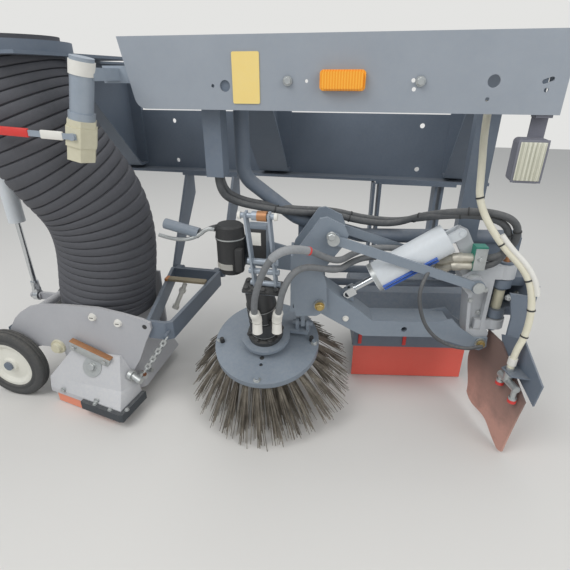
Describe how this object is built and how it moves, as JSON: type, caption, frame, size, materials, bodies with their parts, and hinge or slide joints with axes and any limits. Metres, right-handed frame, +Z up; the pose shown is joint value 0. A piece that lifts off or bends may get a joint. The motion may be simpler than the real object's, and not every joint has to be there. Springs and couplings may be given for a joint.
{
  "type": "street sweeper side sweeping unit",
  "caption": "Side sweeping unit of a street sweeper truck: swinging broom arm with a tilted disc broom, suction nozzle with hose and wheels, splash flap and skirted roller broom.",
  "frame": {"origin": "centre of the bolt pattern on the back face of the mounting plate", "axes": "+X to the front of the truck, +Y in towards the middle of the truck, +Z up; the ground lies at Z -0.8 m"},
  "size_m": [1.8319, 0.8681, 1.1432],
  "materials": {
    "frame_steel": "worn satin paint",
    "rail_steel": "worn satin paint",
    "arm_steel": "worn satin paint",
    "cast_grey": "dusty cast",
    "zinc": "zinc plated",
    "cylinder_white": "worn gloss paint",
    "rod_chrome": "polished",
    "motor_black": "black paint, dusty",
    "wire": "spring steel wire",
    "nozzle_steel": "dusty paint",
    "lip_rubber": "salmon rubber",
    "skirt_rubber": "red rubber",
    "flap_rubber": "dusty rubber",
    "dark_rubber": "matte",
    "hose_rubber": "dusty rubber",
    "tyre": "solid tyre",
    "rim_white": "painted",
    "roller_bristle": "plastic bristle",
    "water_hose": "cream plastic",
    "lamp_amber": "amber lens",
    "lamp_black": "black housing",
    "sign_yellow": "plain yellow",
    "black_plastic": "black housing"
  },
  "bodies": {
    "frame": {"mounting_plate": "frame_steel", "rear_outrigger": "frame_steel", "front_outrigger": "frame_steel", "hose_outrigger": "frame_steel", "side_rail": "rail_steel", "hose_post": "frame_steel", "hanger_frame": "frame_steel", "kingpin_bracket": "frame_steel", "nozzle_hinge": "frame_steel", "hose_collar": "frame_steel", "cylinder_bracket": "frame_steel", "suction_hose": "hose_rubber", "drain_valve": "zinc", "flap_bracket": "arm_steel", "splash_flap": "flap_rubber", "spray_bar": "zinc", "roller_hinge": "frame_steel", "marker_lamp": "lamp_amber", "sign_plate": "sign_yellow", "work_lamp": "lamp_black", "water_hose": "water_hose", "hose_loop": "hose_rubber"},
    "swing_head": {"swing_head": "cast_grey", "head_pins": "zinc", "clamp_block": "frame_steel", "motor_feed_hose": "hose_rubber", "motor_return_hose": "hose_rubber"},
    "main_arm": {"main_arm": "arm_steel"},
    "upper_links": {"upper_links": "arm_steel"},
    "carrier": {"carrier_plates": "arm_steel", "carrier_pins": "zinc", "tilt_actuator": "black_plastic"},
    "lift_barrel": {"lift_barrel": "cylinder_white"},
    "lift_rod": {"lift_rod": "rod_chrome"},
    "broom_head": {"motor_plate": "arm_steel", "hydraulic_motor": "motor_black", "tilt_ladder": "zinc"},
    "side_broom": {"broom_disc": "arm_steel", "broom_bristles": "wire"},
    "nozzle": {"drag_frame": "frame_steel", "nozzle_outer_plate": "nozzle_steel", "nozzle_inner_plate": "nozzle_steel", "cross_tube": "nozzle_steel", "nozzle_shell": "nozzle_steel", "nozzle_box": "nozzle_steel", "nozzle_lip": "lip_rubber", "nozzle_bumper": "dark_rubber", "outer_axle": "frame_steel", "inner_axle": "frame_steel", "lift_chain": "zinc"},
    "outer_wheel": {"outer_tyre": "tyre", "outer_rim": "rim_white"},
    "inner_wheel": {"inner_tyre": "tyre", "inner_rim": "rim_white"},
    "nozzle_barrel": {"nozzle_barrel": "frame_steel"},
    "nozzle_rod": {"nozzle_rod": "rod_chrome"},
    "roller_unit": {"roller_hood": "frame_steel", "roller_skirt": "skirt_rubber"},
    "roller": {"roller_broom": "roller_bristle"}
  },
  "joints": [
    {"name": "arm_swing", "type": "hinge", "parent": "frame", "child": "swing_head", "pos_m": [0.75, -0.497, -0.36], "axis": [0, 0, 1], "range_deg": [0, 22], "deforming": ["hose_loop"]},
    {"name": "arm_lift", "type": "hinge", "parent": "swing_head", "child": "main_arm", "pos_m": [0.70763, -0.50432, -0.506], "axis": [-0.1702, 0.9854, 0], "range_deg": [0, 9], "deforming": ["motor_feed_hose", "motor_return_hose"]},
    {"name": "upper_link_swing", "type": "hinge", "parent": "swing_head", "child": "upper_links", "pos_m": [0.65343, -0.51368, -0.3], "axis": [-0.1702, 0.9854, 0], "range_deg": [-0.22, 11.02]},
    {"name": "carrier_level", "type": "hinge", "parent": "main_arm", "child": "carrier", "pos_m": [0.20605, -0.59096, -0.372], "axis": [-0.1702, 0.9854, 0], "range_deg": [-7.44, 0.15]},
    {"name": "lift_barrel_swing", "type": "hinge", "parent": "swing_head", "child": "lift_barrel", "pos_m": [0.59635, -0.53572, -0.151], "axis": [-0.1702, 0.9854, 0], "range_deg": [-0.14, 7.06]},
    {"name": "lift_rod_slide", "type": "slide", "parent": "lift_barrel", "child": "lift_rod", "axis": [-0.8252, -0.1425, -0.5465], "range_m": [-0.0584, 0.0011]},
    {"name": "broom_tilt", "type": "hinge", "parent": "carrier", "child": "broom_head", "pos_m": [0.16, -0.60651, -0.46584], "axis": [1, 0, 0], "range_deg": [-5, 5]},
    {"name": "broom_spin", "type": "hinge", "parent": "broom_head", "child": "side_broom", "pos_m": [0.045, -0.632, -0.533], "axis": [0, -0.309, 0.9511], "continuous": true},
    {"name": "nozzle_lift", "type": "hinge", "parent": "frame", "child": "nozzle", "pos_m": [-0.338, -0.262, -0.48], "axis": [-1, 0, 0], "range_deg": [0, 14], "deforming": ["suction_hose"]},
    {"name": "outer_wheel_spin", "type": "hinge", "parent": "nozzle", "child": "outer_wheel", "pos_m": [-0.857, -0.758, -0.67], "axis": [0, 1, 0], "continuous": true},
    {"name": "inner_wheel_spin", "type": "hinge", "parent": "nozzle", "child": "inner_wheel", "pos_m": [-0.857, -0.35, -0.67], "axis": [0, 1, 0], "continuous": true},
    {"name": "nozzle_barrel_swing", "type": "hinge", "parent": "frame", "child": "nozzle_barrel", "pos_m": [-0.87, -0.56, 0.15], "axis": [-1, 0, 0], "range_deg": [-0.2499, 0.0049]},
    {"name": "nozzle_rod_slide", "type": "slide", "parent": "nozzle_barrel", "child": "nozzle_rod", "axis": [0, 0, -1], "range_m": [-0.0744, 0.0015]},
    {"name": "roller_lift", "type": "hinge", "parent": "frame", "child": "roller_unit", "pos_m": [0.46898, -0.03635, -0.42], "axis": [-0.986, -0.1668, 0], "range_deg": [0, 8]},
    {"name": "roller_spin", "type": "hinge", "parent": "roller_unit", "child": "roller", "pos_m": [0.497, -0.202, -0.657], "axis": [0.986, 0.1668, 0], "continuous": true}
  ],
  "couplings": [
    {"joint": "upper_link_swing", "follows": "arm_lift", "ratio": 1.2},
    {"joint": "carrier_level", "follows": "arm_lift", "ratio": -0.81},
    {"joint": "lift_barrel_swing", "follows": "arm_lift", "ratio": 0.769},
    {"joint": "lift_rod_slide", "follows": "arm_lift", "m_per_rad": -0.3645},
    {"joint": "nozzle_barrel_swing", "follows": "nozzle_lift", "ratio": -0.0175},
    {"joint": "nozzle_rod_slide", "follows": "nozzle_lift", "m_per_rad": -0.2985}
  ]
}
